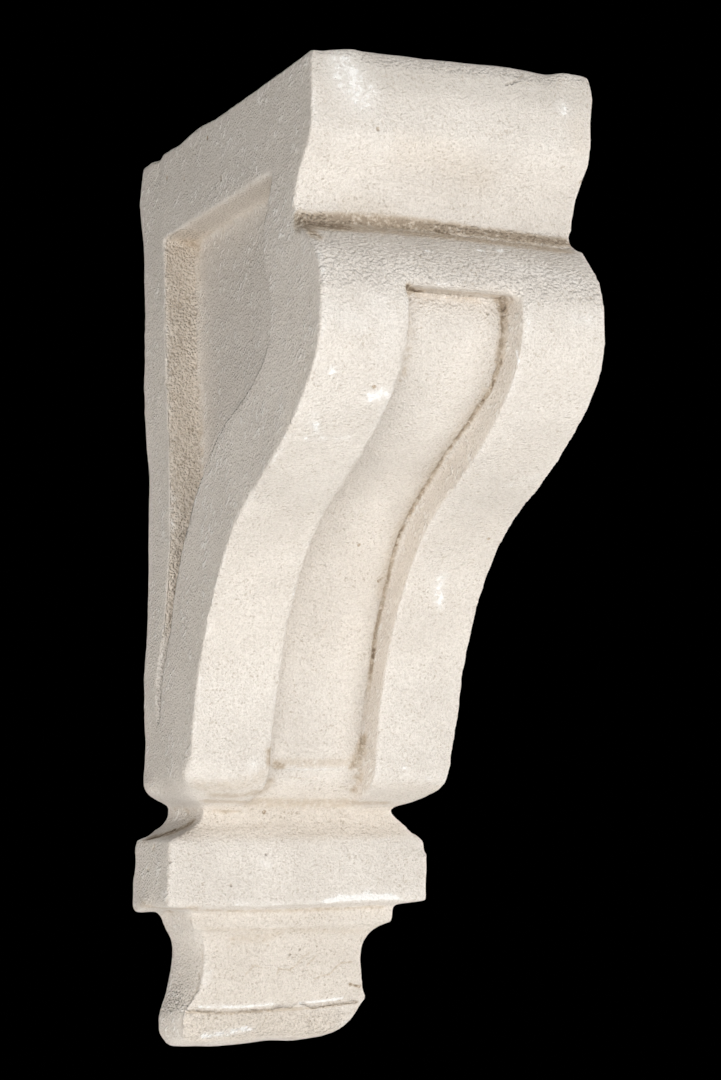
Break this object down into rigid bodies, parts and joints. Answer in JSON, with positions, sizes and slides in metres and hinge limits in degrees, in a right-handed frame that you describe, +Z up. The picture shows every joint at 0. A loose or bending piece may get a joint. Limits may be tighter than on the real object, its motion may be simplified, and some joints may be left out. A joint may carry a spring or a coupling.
{
  "type": "wall corbel",
  "caption": "Cast plaster wall corbel: a scrolled console bracket with a sunk channel down its front, a sunk panel in each side, and a small moulded drop below.",
  "frame": {"origin": "fixing point in the middle of the flat back, 170 mm below the flat top", "axes": "+Z up, +Y into the wall, -Y out of the wall, X along the wall"},
  "size_m": [0.1477, 0.2595, 0.4727],
  "materials": {
    "plaster": "matt cast plaster, warm off-white, with a sandy grain, pinholes and dirt in the creases"
  },
  "bodies": {
    "root": {"corbel": "plaster"}
  },
  "joints": []
}
